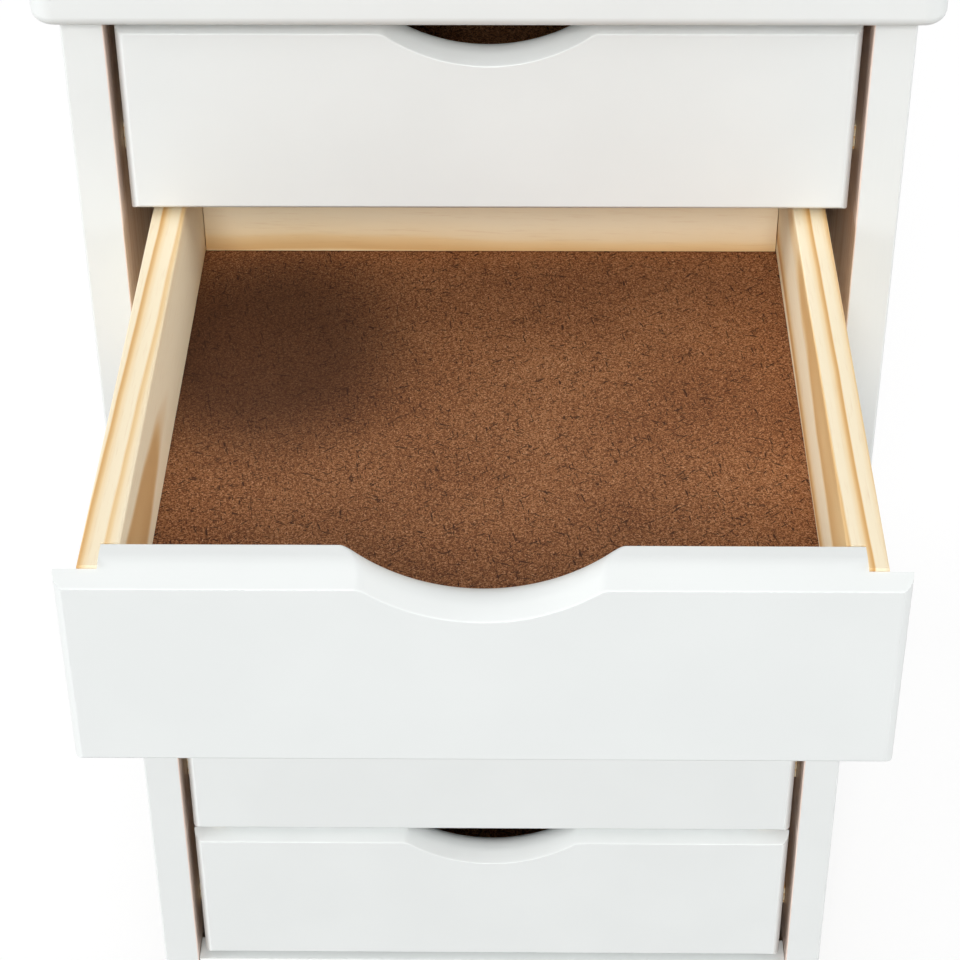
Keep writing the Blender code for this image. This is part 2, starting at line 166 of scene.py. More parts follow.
def naturalPine(name, fromLog=True):
    made, tree, shader = newMaterial(name, IOR=1.5)
    if fromLog:
        # along the log, then across it from its pith
        log = addNode(tree, "Attribute", attribute_name="logPlace")["Vector"]
    else:
        at = addNode(tree, "TexCoord")["Object"]
        log = addNode(tree, "Mapping", {
            "Vector": at, "Rotation": (0, 0, -quarterTurn), "Location": pineLook["stripPlace"]})[0]
    stray = addNode(tree, "Mapping", {"Vector": log, "Scale": (
        1 / pineLook["wanderAlong"], 1 / pineLook["wanderAcross"], 1 / pineLook["wanderAcross"])})[0]
    strayed = addNode(tree, "TexNoise", {"Vector": stray, "Scale": 1.0, "Detail": 2.5, "Roughness": 0.55})[0]
    cross = addNode(tree, "VectorMath", {0: log, 1: (0, 1, 1)}, operation="MULTIPLY")[0]
    radius = addNode(tree, "VectorMath", {0: cross}, operation="LENGTH")["Value"]
    bent = addNode(tree, "Math", {0: strayed, 1: 2 * pineLook["wander"], 2: radius},
                   operation="MULTIPLY_ADD")[0]
    rings = addNode(tree, "Math", {0: bent, 1: pineLook["ring"]}, operation="DIVIDE")[0]
    year = addNode(tree, "Math", {0: rings}, operation="FRACT")[0]
    number = addNode(tree, "Math", {0: rings}, operation="FLOOR")[0]
    vigour = addNode(tree, "TexWhiteNoise", {"W": number}, noise_dimensions="1D")["Value"]
    depth = addNode(tree, "MapRange", {"Value": vigour, **pineLook["vigour"]})[0]
    late = addNode(tree, "ValToRGB", {"Fac": year},
                   [(p, (grey, grey, grey, 1)) for p, grey in pineLook["year"]])[0]
    share = addNode(tree, "Math", {0: late, 1: depth}, operation="MULTIPLY")[0]
    wood = addNode(tree, "ValToRGB", {"Fac": share}, [(p, linear(tone)) for p, tone in pineLook["tones"]])[0]
    heartReach = pineLook["heartRings"] * pineLook["ring"]
    heart = addNode(tree, "MapRange", {
        "Value": bent, "From Min": heartReach + pineLook["heartEdge"],
        "From Max": heartReach - pineLook["heartEdge"], "To Max": pineLook["heartShare"]})[0]
    wood = addNode(tree, "Mix", {0: heart, 6: wood, 7: linear(pineLook["heart"])}, data_type="RGBA")[2]
    fine = addNode(tree, "Mapping", {"Vector": log, "Scale": (
        1 / pineLook["fibreAlong"], 1 / pineLook["fibreAcross"], 1 / pineLook["fibreAcross"])})[0]
    fibres = addNode(tree, "TexNoise", {"Vector": fine, "Scale": 1.0, "Detail": 3.0, "Roughness": 0.6})[0]
    faint = addNode(tree, "MapRange", {"Value": fibres, **pineLook["fibreShare"]})[0]
    wood = addNode(tree, "Mix", {0: faint, 6: wood, 7: linear(pineLook["fibre"])}, data_type="RGBA")[2]
    rough = addNode(tree, "MapRange", {"Value": late, **pineLook["rough"]})[0]
    grain = addNode(tree, "Bump", {"Height": fibres, **pineLook["bump"]})[0]
    connect(tree, shader, {"Base Color": wood, "Roughness": rough, "Normal": grain})
    return made


# Hardboard, wet-pressed wood fibre: brown felt of short fibres that lie every way in the plane of the
# sheet, with dark flecks. The fibres are drawn about twice as coarse as real so that they show.
hardboardLook = {
    "tones": ((0.58, "#633820"), (0.70, "#a56f46"), (0.86, "#d6a67d")), "fleck": "#2e160a",
    # metres along and across one fibre, directions that they lie in and the first of these in radians
    "fibre": {"size": (0.0016, 0.00050), "ways": 4, "first": 0.2},
    "speck": {"size": (0.0050, 0.00085), "ways": 3, "first": 0.7},
    "speckShare": {"From Min": 0.655, "From Max": 0.73, "To Max": 0.9},
    "apart": 0.3, "curl": 0.25,  # from one direction's noise to the next, and the bend of a fibre
    "cloud": 0.050, "cloudShare": 0.10,
    "bump": {"Strength": 0.15, "Distance": 0.0002},
    # painted shadow on the sheet, standing for the shade the drawer's left side casts: darkest in the middle of
    # the patch, and less so out to its reach
    "paintedShadow": {"middle": (-0.092, -0.076, 0.485), "spread": (1.0, 1.25, 1.0), "core": 0.028, "reach": 0.082,
              "share": 0.78, "colour": "#351a0b"},
}


def hardboard(name, upright=False, paintedShadow=None):
    made, tree, shader = newMaterial(name, Roughness=0.75, Specular_IOR_Level=0.25)
    at = addNode(tree, "TexCoord")["Object"]

    # a stretched noise for each direction, of which the strongest shows
    def strands(size, ways, first):
        most = 0.0
        for way in range(ways):
            angle = first + way * math.pi / ways
            turned = addNode(tree, "Mapping", {
                "Vector": at, "Location": (hardboardLook["apart"] * way + first, 0, 0),
                "Scale": (size[0], size[1], size[1]),
                "Rotation": (0, angle, 0) if upright else (0, 0, angle)}, vector_type="TEXTURE")[0]
            layer = addNode(tree, "TexNoise", {
                "Vector": turned, "Scale": 1.0, "Detail": 1.0, "Distortion": hardboardLook["curl"]})[0]
            most = addNode(tree, "Math", {0: most, 1: layer}, operation="MAXIMUM")[0]
        return most

    felt = strands(**hardboardLook["fibre"])
    specks = strands(**hardboardLook["speck"])
    cloud = addNode(tree, "TexNoise", {"Vector": at, "Scale": 1 / hardboardLook["cloud"], "Detail": 2.0})[0]
    mixed = addNode(tree, "Math", {0: cloud, 1: hardboardLook["cloudShare"], 2: felt},
                    operation="MULTIPLY_ADD")[0]
    colour = addNode(tree, "ValToRGB", {"Fac": mixed},
                     [(p, linear(tone)) for p, tone in hardboardLook["tones"]])[0]
    sparse = addNode(tree, "MapRange", {"Value": specks, **hardboardLook["speckShare"]})[0]
    colour = addNode(tree, "Mix", {0: sparse, 6: colour, 7: linear(hardboardLook["fleck"])},
                     data_type="RGBA")[2]
    # a painted shadow: the colour darkens towards a dark brown round a point
    if paintedShadow:
        spread = addNode(tree, "Mapping", {
            "Vector": at, "Location": paintedShadow["middle"], "Scale": paintedShadow["spread"]}, vector_type="TEXTURE")[0]
        away = addNode(tree, "VectorMath", {0: spread}, operation="LENGTH")["Value"]
        dim = addNode(tree, "MapRange", {
            "Value": away, "From Min": paintedShadow["core"], "From Max": paintedShadow["reach"],
            "To Min": paintedShadow["share"], "To Max": 0.0}, interpolation_type="SMOOTHSTEP")[0]
        colour = addNode(tree, "Mix", {0: dim, 6: colour, 7: linear(paintedShadow["colour"])}, data_type="RGBA")[2]
    relief = addNode(tree, "Bump", {"Height": felt, **hardboardLook["bump"]})[0]
    connect(tree, shader, {"Base Color": colour, "Normal": relief})
    return made


# Bright zinc plate on pressed steel: pale grey metal with a soft, slightly uneven shine
zincLook = {
    "tones": ((0.35, "#b3b8bd"), (0.65, "#cfd2d6")), "cloud": 0.006, "grit": 0.0006,
    "rough": {"To Min": 0.40, "To Max": 0.26}, "bump": {"Strength": 0.08, "Distance": 0.0002},
}


def zincPlate(name):
    made, tree, shader = newMaterial(name, Metallic=1.0)
    at = addNode(tree, "TexCoord")["Object"]
    cloud = addNode(tree, "TexNoise", {"Vector": at, "Scale": 1 / zincLook["cloud"], "Detail": 3.0})[0]
    grit = addNode(tree, "TexNoise", {"Vector": at, "Scale": 1 / zincLook["grit"], "Detail": 2.0})[0]
    colour = addNode(tree, "ValToRGB", {"Fac": cloud}, [(p, linear(tone)) for p, tone in zincLook["tones"]])[0]
    rough = addNode(tree, "MapRange", {"Value": cloud, **zincLook["rough"]})[0]
    relief = addNode(tree, "Bump", {"Height": grit, **zincLook["bump"]})[0]
    connect(tree, shader, {"Base Color": colour, "Roughness": rough, "Normal": relief})
    return made


# Moulded wheel materials: soft grey rubber for the tread, harder polypropylene for the core
mouldedLook = {
    "tread": {"tones": ((0.35, "#4a4c4f"), (0.65, "#5b5d60")), "rough": 0.72, "grit": 0.0009,
              "bump": {"Strength": 0.18, "Distance": 0.0003}},
    "core": {"tones": ((0.35, "#808386"), (0.65, "#8d9093")), "rough": 0.45, "grit": 0.0014,
             "bump": {"Strength": 0.06, "Distance": 0.0003}},
}


def moulded(name, look):
    made, tree, shader = newMaterial(name, Roughness=look["rough"], IOR=1.5)
    at = addNode(tree, "TexCoord")["Object"]
    grit = addNode(tree, "TexNoise", {"Vector": at, "Scale": 1 / look["grit"], "Detail": 3.0})[0]
    colour = addNode(tree, "ValToRGB", {"Fac": grit}, [(p, linear(tone)) for p, tone in look["tones"]])[0]
    relief = addNode(tree, "Bump", {"Height": grit, **look["bump"]})[0]
    connect(tree, shader, {"Base Color": colour, "Normal": relief})
    return made


paintAcross = whitePaint("white_enamel_on_pine_grain_across", "x")
paintUpright = whitePaint("white_enamel_on_pine_grain_upright", "z", inside=True)
pineBoard = naturalPine("planed_pine")
pineStrip = naturalPine("planed_pine_strip", fromLog=False)
drawerSheet = hardboard("pressed_hardboard_lying")
# the open drawer's sheet carries a painted shadow on its left, where its left side throws shade
openSheet = hardboard("pressed_hardboard_lying_with_painted_shadow", paintedShadow=hardboardLook["paintedShadow"])
backSheet = hardboard("pressed_hardboard_upright", upright=True)
zinc = zincPlate("bright_zinc_plate")
treadRubber = moulded("grey_rubber_tread", mouldedLook["tread"])
corePlastic = moulded("grey_polypropylene_core", mouldedLook["core"])
print("materials made")


# A closed mesh from points and faces, welded and turned outwards, that rides a body and stands for CAD nodes
def makePiece(name, points, faces, finish, body, nodes=(), log=None):
    mesh = bpy.data.meshes.new(name)
    mesh.from_pydata(np.asarray(points).reshape(-1, 3).tolist(), [], faces)
    shape = bmesh.new()
    shape.from_mesh(mesh)
    bmesh.ops.remove_doubles(shape, verts=shape.verts, dist=weldDistance)
    bmesh.ops.delete(shape, geom=[v for v in shape.verts if not v.link_faces], context="VERTS")
    bmesh.ops.recalc_face_normals(shape, faces=shape.faces)
    shape.to_mesh(mesh)
    shape.free()
    mesh.shade_smooth()
    mesh.set_sharp_from_angle(angle=smoothAngle)
    mesh.materials.append(finish)
    if log:
        co = np.empty(len(mesh.vertices) * 3)
        mesh.vertices.foreach_get("co", co)
        place = (co.reshape(-1, 3) - log["middle"]) @ np.array(log["turn"]).T + log["pith"]
        mesh.attributes.new("logPlace", "FLOAT_VECTOR", "POINT").data.foreach_set("vector", place.ravel())
    made = bpy.data.objects.new(name, mesh)
    bpy.context.scene.collection.objects.link(made)
    made.modifiers.new("flat_faces_shade_flat", "WEIGHTED_NORMAL").keep_sharp = True
    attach(made, body)
    if nodes:
        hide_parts(*nodes)
    return made


# A CAD node that keeps its shape gets its finish
def dress(node, finish):
    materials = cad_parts[node].data.materials
    materials.clear()
    materials.append(finish)


# Faces of a board or plate: two surfaces over one grid, joined by walls wherever a solid cell meets none
def shellFaces(solid):
    rows, columns = solid.shape
    index = np.arange((rows + 1) * (columns + 1)).reshape(rows + 1, columns + 1)
    far = index.size  # the second surface's numbers follow the first's
    cells = np.stack([index[:-1, :-1], index[:-1, 1:], index[1:, 1:], index[1:, :-1]], -1)[solid]
    padded = np.pad(solid, 1)
    rowWall = padded[:-1, 1:-1] != padded[1:, 1:-1]
    columnWall = padded[1:-1, :-1] != padded[1:-1, 1:]
    borders = np.concatenate([
        np.stack([index[:, :-1], index[:, 1:]], -1)[rowWall],
        np.stack([index[:-1, :], index[1:, :]], -1)[columnWall]])
    walls = np.concatenate([borders, borders[:, ::-1] + far], -1)
    return np.concatenate([cells, cells[:, ::-1] + far, walls]).tolist()


def wholeGrid(first, second):
    return np.ones((len(first) - 1, len(second) - 1), bool)


# How far a rounded edge has fallen, a distance from the border: a quarter circle
def soften(distance, radius):
    short = np.clip(radius - distance, 0, radius)
    return radius - np.sqrt(radius**2 - short**2)


borderRows = {"arc": 5, "clear": 1.4, "plain": 2}  # rows on a softened border, and radii to the next ones


# Stations from low to high, close together inside the softened borders
def stations(low, high, radius, count, lowSoft=True, highSoft=True):
    arc = radius * (1 - np.cos(np.linspace(0, quarterTurn, borderRows["arc"])))
    near = np.append(arc, radius * borderRows["clear"])
    plain = borderRows["plain"] * radius
    first = low + near if lowSoft else [low]
    last = high - near[::-1] if highSoft else [high]
    return np.concatenate([first, np.linspace(low + plain, high - plain, count), last])


# A station close to either side of each step in a board
def stepped(places, gap):
    return np.ravel([[place - gap, place + gap] for place in places])


# The log that a board was sawn from: the board's middle, its axes as (along, across, across) and where its
# middle lies from the pith. The pith leans along the board, and a fast-grown log has wider rings.
def sawn(lowest, highest, grain, pith, lean=(0, 0), growth=1.0):
    order = {"x": (0, 1, 2), "y": (1, 0, 2), "z": (2, 0, 1)}[grain]
    turn = np.eye(3)[list(order)]
    turn[1] += lean[0] * turn[0]
    turn[2] += lean[1] * turn[0]
    stretch = np.array([1, growth, growth])
    return {"middle": (np.array(lowest) + np.array(highest)) / 2, "turn": turn / stretch[:, None],
            "pith": np.array(pith) / stretch}


# Drawer fronts. The board is two height fields over a plan of x and y: its top and its bottom.
# The bottom rises and the ends draw in as an arc towards the face. The top is the lesser of a bevelled
# edge and the finger scoop, a round hollow that falls as a bevel in front and as an arc behind.
frontBoard = {
    "roundDepth": 0.008, "roundDrop": 0.0035,
    "bevel": (18, 0.009, 0.0056),  # lean in degrees, depth of the plane and of the curve behind it
    "lip": 0.0078, "shoulder": 0.1299,  # thickness of the rebated ends, and where they start from the middle
    "scoopDepth": 0.0150, "scoopRadius": 0.0674, "scoopBevel": (18, 0.006, 0.005),
    "scoopReach": 0.8,  # share of the radius, past which the scoop is well above the edge
    "scoopBack": 0.011, "backDepth": 0.009,  # radius and depth of the arc behind
    "arris": 0.0004,  # softened edges
    "crease": 0.0014,  # how softly the scoop meets the bevelled edge
    # rows from the face to the back, and columns from the middle to the shoulder and on through the lip
    "arrisRows": 4, "lipRows": 14, "middleRows": (0.008, 0.009, 0.010), "backRows": 10,
    "columnBreaks": (0, 0.036, 0.054), "columnCounts": (37, 55, 9), "lipColumns": (0.35, 0.7, 0.92, 1.0),
}


# How far a bevelled edge has fallen, a distance from the face: a plane, then an arc that ends level
def bevelFall(distance, lean, plane, curve):
    lean = math.radians(lean)
    bend = curve / math.sin(lean)
    within = np.clip(plane + curve - distance, 0, curve)
    return bend - np.sqrt(bend**2 - within**2) + math.tan(lean) * np.clip(plane - distance, 0, None)


# Height of the scoop's crown: an arc of a circle, from its lowest point in the middle
def scoopHeight(x, height):
    deep, wide = frontBoard["scoopDepth"], frontBoard["scoopRadius"]
    reach = np.minimum(np.abs(x), frontBoard["scoopReach"] * wide)
    return height + wide - deep - np.sqrt(wide**2 - reach**2)


def drawerFront(number):
    node = f"drawer_{number}_front"
    low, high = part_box(node)
    halfWidth, deep, height = (high.x - low.x) / 2, high.y - low.y, high.z - low.z
    depth, drop, arris = (frontBoard[k] for k in ("roundDepth", "roundDrop", "arris"))
    lip, shoulder, crease = (frontBoard[k] for k in ("lip", "shoulder", "crease"))
    scoopBack, backDepth = frontBoard["scoopBack"], frontBoard["backDepth"]
    near = arris * (1 - np.cos(np.linspace(0, quarterTurn, frontBoard["arrisRows"])))
    y = np.concatenate([
        near, np.linspace(arris, lip, frontBoard["lipRows"])[1:], frontBoard["middleRows"],
        deep - np.linspace(backDepth, 2 * arris, frontBoard["backRows"]), deep - near[::-1]])
    bend = (depth**2 + drop**2) / (2 * drop)
    inset = bend - np.sqrt(bend**2 - np.clip(depth - y, 0, depth) ** 2) + soften(y, arris)
    breaks = (*frontBoard["columnBreaks"], shoulder)
    spans = zip(breaks, breaks[1:], frontBoard["columnCounts"])
    right = np.concatenate([[0], *(np.linspace(*span)[1:] for span in spans)])
    inner = np.concatenate([-right[:0:-1], right])
    beyond = np.array(frontBoard["lipColumns"])
    endX = shoulder + beyond * (halfWidth - inset - shoulder)[:, None]
    x = np.concatenate([-endX[:, ::-1], np.broadcast_to(inner, (len(y), len(inner))), endX], 1)
    across = np.broadcast_to(y[:, None], x.shape)
    frontArris, backArris = soften(across, arris), soften(deep - across, arris)
    edge = height - bevelFall(across, *frontBoard["bevel"]) - frontArris
    scoop = scoopHeight(x, height) - bevelFall(across, *frontBoard["scoopBevel"]) - frontArris
    scoop = scoop - soften(deep - across + scoopBack - backDepth, scoopBack)
    blend = np.clip(1 - np.abs(edge - scoop) / crease, 0, 1)
    top = np.minimum(edge, scoop) - blend**2 * crease / 4 - backArris
    bottom = inset[:, None] + backArris
    solid = wholeGrid(y, x[0])
    behindLip = y[1:] > lip + hair
    solid[behindLip, :len(beyond)] = False
    solid[behindLip, -len(beyond):] = False
    place = np.array([0, low.y, low.z])
    points = np.stack([np.stack([x, across, z], -1) for z in (top, bottom)]) + place
    return makePiece(f"drawer_{number}_front_board", points, shellFaces(solid), paintAcross,
                     f"drawer_{number}", [node])


for number in drawerNumbers:
    drawerFront(number)
print("drawer fronts made")


# An upright board on one side: its outer and inner face, each a depth out from the plane of the inner one
def uprightFaces(hand, low, high, along, up, depths):
    side, plane = hands[hand], min(abs(low.x), abs(high.x))
    return np.stack([
        np.stack([side * (plane + depth), low.y + along, low.z + up], -1) for depth in depths])


# Drawer sides. The plan is y and z, and the two height fields are the outer and the inner face, with steps
# for the tongue, the stopped groove of the runner and the groove of the bottom.
sideBoard = {
    "tongueEnd": 0.0123, "tongue": 0.0069,  # length and thickness of the tongue in the front's rebate
    "runnerFrom": 0.0134, "runnerLow": 0.0095, "runnerHigh": 0.0211, "runnerDepth": 0.0053,
    "bottomLow": 0.0225, "bottomHigh": 0.0261, "bottomDepth": 0.005,
    "edge": 0.0009, "step": 0.00001,
    "plainFrom": 0.02, "lengthRows": 8, "heightRows": 4,
    # the logs of the open drawer's two sides: from the pith, its lean and the growth
    "leftLog": ((0.31, -0.0946, -0.011), (-0.0184, 0.0), 1.61),
    "rightLog": ((0.72, 0.1084, -0.030), (0.008, 0.0), 1.5),
}


def drawerSide(number, hand, log):
    node = f"drawer_{number}_{hand}_side"
    low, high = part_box(node)
    length, thick, tall = high.y - low.y, high.x - low.x, high.z - low.z
    edge, step = sideBoard["edge"], sideBoard["step"]
    lengthSteps = stepped([sideBoard[k] for k in ("tongueEnd", "runnerFrom")], step)
    heightSteps = stepped([sideBoard[k] for k in ("runnerLow", "runnerHigh", "bottomLow", "bottomHigh")], step)
    plain = stations(sideBoard["plainFrom"], length, edge, sideBoard["lengthRows"], lowSoft=False)
    y = np.sort(np.concatenate([[0], lengthSteps, plain]))
    z = np.sort(np.concatenate([heightSteps, stations(0, tall, edge, sideBoard["heightRows"])]))
    along, up = np.meshgrid(y, z, indexing="ij")
    soft = soften(np.minimum(np.minimum(up, tall - up), length - along), edge)
    behind = along > sideBoard["runnerFrom"]
    runner = behind & (up > sideBoard["runnerLow"]) & (up < sideBoard["runnerHigh"])
    groove = (up > sideBoard["bottomLow"]) & (up < sideBoard["bottomHigh"])
    tongue = along < sideBoard["tongueEnd"]
    outer = thick - np.where(runner, sideBoard["runnerDepth"], soft)
    inner = np.where(groove, sideBoard["bottomDepth"], soft)
    inner = np.where(tongue, thick - sideBoard["tongue"], inner)
    points = uprightFaces(hand, low, high, along, up, (outer, inner))
    return makePiece(f"drawer_{number}_{hand}_side_board", points, shellFaces(wholeGrid(y, z)), pineBoard,
                     f"drawer_{number}", [node], sawn(low, high, "y", *log))


easedRows = 6  # between the softened borders of a plain board


# A plain board with softened edges, as two height fields over a plan of its two longer sides
def easedBoard(name, node, thin, edge, finish, body, log=None):
    low, high = (np.array(corner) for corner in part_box(node))
    order = [axis for axis in range(3) if axis != thin]
    u, v = (stations(low[axis], high[axis], edge, easedRows) for axis in order)
    first, second = np.meshgrid(u, v, indexing="ij")
    border = np.minimum(np.minimum(first - u[0], u[-1] - first), np.minimum(second - v[0], v[-1] - second))
    soft = soften(border, edge)
    points = np.empty((2, *first.shape, 3))
    points[..., order[0]], points[..., order[1]] = first, second
    points[0, ..., thin], points[1, ..., thin] = high[thin] - soft, low[thin] + soft
    return makePiece(name, points, shellFaces(wholeGrid(u, v)), finish, body, [node], log)


backBoard = {"edge": 0.0003, "openLog": ((0.2, 0.1525, -0.025), (0.0, 0.02), 2.0)}

# Each other board comes from another place in a log: along it, far from its pith and off to one side
logDraw = {
    "along": (0, 40), "growth": (1, 1.5),
    "sideFar": (0.09, 0.15), "sideOff": (-0.04, 0.04), "sideLean": (-0.04, 0.04),
    "backFar": (0.10, 0.15), "backOff": (-0.05, -0.02), "backLean": (0.03, 0.05),
}
draw = np.random.default_rng(26)


def sideLog():
    far = draw.uniform(*logDraw["sideFar"]) * draw.choice([-1, 1])
    pith = draw.uniform(*logDraw["along"]), far, draw.uniform(*logDraw["sideOff"])
    return pith, draw.uniform(*logDraw["sideLean"], 2), draw.uniform(*logDraw["growth"])


def backLog():
    pith = [draw.uniform(*logDraw[k]) for k in ("along", "backFar", "backOff")]
    return pith, logDraw["backLean"], draw.uniform(*logDraw["growth"])


for number in drawerNumbers:
    isOpen = number == openDrawer
    for hand in hands:
        log = sideLog()
        drawerSide(number, hand, sideBoard[f"{hand}Log"] if isOpen else log)
    log = backLog()
    low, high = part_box(f"drawer_{number}_back")
    easedBoard(f"drawer_{number}_back_board", f"drawer_{number}_back", 1, backBoard["edge"], pineBoard,
               f"drawer_{number}",
               sawn(low, high, "x", *(backBoard["openLog"] if isOpen else log)))
    dress(f"drawer_{number}_bottom", openSheet if isOpen else drawerSheet)
print("drawer boxes made")


# Side panels: outer and inner face over a plan of y and z, softened at the edges, rebated for the back panel
panelBoard = {
    "edge": 0.0012, "innerEdge": 0.0005, "rebate": 0.008, "backPanel": 0.0033, "step": 0.00001,
    "lengthRows": 10, "heightRows": 14,
}
railBoard = {"edge": 0.0012}


def sidePanel(hand):
    node = f"{hand}_side_panel"
    low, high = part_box(node)
    deep, tall, thick = high.y - low.y, high.z - low.z, high.x - low.x
    edge, rebateAt = panelBoard["edge"], deep - panelBoard["backPanel"]
    y = np.sort(np.append(stations(0, deep, edge, panelBoard["lengthRows"], highSoft=False),
                          stepped([rebateAt], panelBoard["step"])))
    z = stations(0, tall, edge, panelBoard["heightRows"])
    along, up = np.meshgrid(y, z, indexing="ij")
    outer = thick - soften(np.minimum(along, np.minimum(up, tall - up)), edge)
    inner = np.where(along > rebateAt, panelBoard["rebate"], soften(along, panelBoard["innerEdge"]))
    points = uprightFaces(hand, low, high, along, up, (outer, inner))
    return makePiece(f"{hand}_side_board", points, shellFaces(wholeGrid(y, z)), paintUpright, "cabinet",
                     [node])


for hand in hands:
    sidePanel(hand)
easedBoard("base_rail_board", "base_rail", 1, railBoard["edge"], paintAcross, "cabinet")


# Top board: rings of a rounded rectangle that grow and fall round a half-round edge, closed by two flat faces
topBoard = {
    "edge": 0.005, "corner": 0.010, "leastCorner": 0.0004, "edgeSteps": 8, "cornerSteps": 8,
    "flatFrom": 1.5,  # edges in from the border
}


def roundedRing(low, high, inset):
    turns = np.linspace(0, quarterTurn, topBoard["cornerSteps"] + 1)
    radius = max(topBoard["corner"] - inset, topBoard["leastCorner"])
    corners = (high[0], high[1]), (low[0], high[1]), (low[0], low[1]), (high[0], low[1])
    arcs = []
    for quarter, (x, y) in enumerate(corners):
        angle = turns + quarter * quarterTurn
        centre = (x - math.copysign(inset + radius, x - (low[0] + high[0]) / 2),
                  y - math.copysign(inset + radius, y - (low[1] + high[1]) / 2))
        arcs.append(np.stack([centre[0] + radius * np.cos(angle), centre[1] + radius * np.sin(angle)], -1))
    return np.concatenate(arcs)


# Faces between rings of points, closed by two caps, or by joining the last ring to the first
def ringFaces(count, around, joined=False):
    index = np.arange(count * around).reshape(count, around)
    if joined:
        index = np.concatenate([index, index[:1]])
    quads = np.stack([index[:-1], np.roll(index[:-1], -1, 1), np.roll(index[1:], -1, 1), index[1:]], -1)
    caps = [] if joined else [index[0].tolist(), index[-1].tolist()]
    return quads.reshape(-1, 4).tolist() + caps


def topPanel():
    low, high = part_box("top_panel")
    edge = topBoard["edge"]
    angle = np.linspace(0, quarterTurn, topBoard["edgeSteps"] + 1)
    sineRest, cosineRest = edge * (1 - np.sin(angle)), edge * (1 - np.cos(angle))
    flat = [edge * topBoard["flatFrom"]]
    inset = np.concatenate([flat, sineRest, cosineRest, flat])
    height = np.concatenate([[high.z], high.z - cosineRest, low.z + sineRest, [low.z]])
    rings = [roundedRing(low, high, away) for away in inset]
    points = np.stack([np.column_stack([ring, np.full(len(ring), z)]) for ring, z in zip(rings, height)])
    return makePiece("top_board", points, ringFaces(*points.shape[:2]), paintAcross, "cabinet",
                     ["top_panel"])


topPanel()
dress("back_panel", backSheet)
dress("base_board", pineStrip)
for number in drawerNumbers:
    for hand in hands:
        dress(f"runner_{number}_{hand}", pineStrip)
print("case boards made")


# A turned piece: a profile of (along, radius) points carried round an axis through a centre
def turnedPiece(name, profile, axis, centre, finish, body, nodes, around, joined=False):
    profile = np.asarray(profile, float)
    angle = np.arange(around) * 2 * math.pi / around
    ring = np.stack([np.cos(angle), np.sin(angle)], -1)
    points = np.empty((len(profile), around, 3))
    others = [(axis + 1) % 3, (axis + 2) % 3]
    points[..., axis] = profile[:, :1]
    points[..., others[0]] = profile[:, 1:] * ring[:, 0]
    points[..., others[1]] = profile[:, 1:] * ring[:, 1]
    return makePiece(name, points + np.asarray(centre), ringFaces(len(profile), around, joined), finish,
                     body, nodes)


# Casters, in metres from the axle or the stem
casterLook = {
    "treadOuter": 0.025, "treadInner": 0.019, "treadHalf": 0.009, "treadPower": 4.5, "treadSteps": 40,
    "coreProfile": [  # half of the core, from the bore out to the rim
        (0.0097, 0.0033), (0.0097, 0.0082), (0.0092, 0.0088), (0.0062, 0.0092), (0.0055, 0.0100),
        (0.0055, 0.0160), (0.0062, 0.0168), (0.0078, 0.0172), (0.0084, 0.0178), (0.0084, 0.0192)],
    "axleHead": 0.0128, "axleDome": 0.002, "axleRadius": 0.003, "headRadius": 0.0055, "domeRows": 7,
    "legHalf": 0.01125, "plate": 0.0025, "bend": 0.005, "crown": 0.0545, "skirt": 0.047,
    "ahead": -0.016, "behind": 0.034, "trail": 0.018, "boss": 0.008, "plateEdge": 0.0007,
    "bossAngles": (86, 80, 70, 58, 44, 30, 15), "legRows": 9, "bendRows": 8, "crownHalf": 0.003,
    "edgeShares": (0, 0.004, 0.012, 0.025), "plainShares": (0.06, 0.94, 12),  # columns across the plate
    "swivelProfile": [  # height and radius of the two ball cups and the stem
        (0.0556, 0.0), (0.0556, 0.0112), (0.0562, 0.0119), (0.0582, 0.0119), (0.0588, 0.0112),
        (0.0590, 0.0098), (0.0598, 0.0098), (0.0600, 0.0108), (0.0606, 0.0119), (0.0632, 0.0119),
        (0.0637, 0.0113), (0.0637, 0.0050), (0.0775, 0.0050), (0.0780, 0.0044), (0.0780, 0.0)],
    "kingPin": [(0.0535, 0.0), (0.0535, 0.0052), (0.0524, 0.0050), (0.0513, 0.0038), (0.0508, 0.0)],
    "wheelAround": 96, "swivelAround": 56, "pinAround": 40,
}


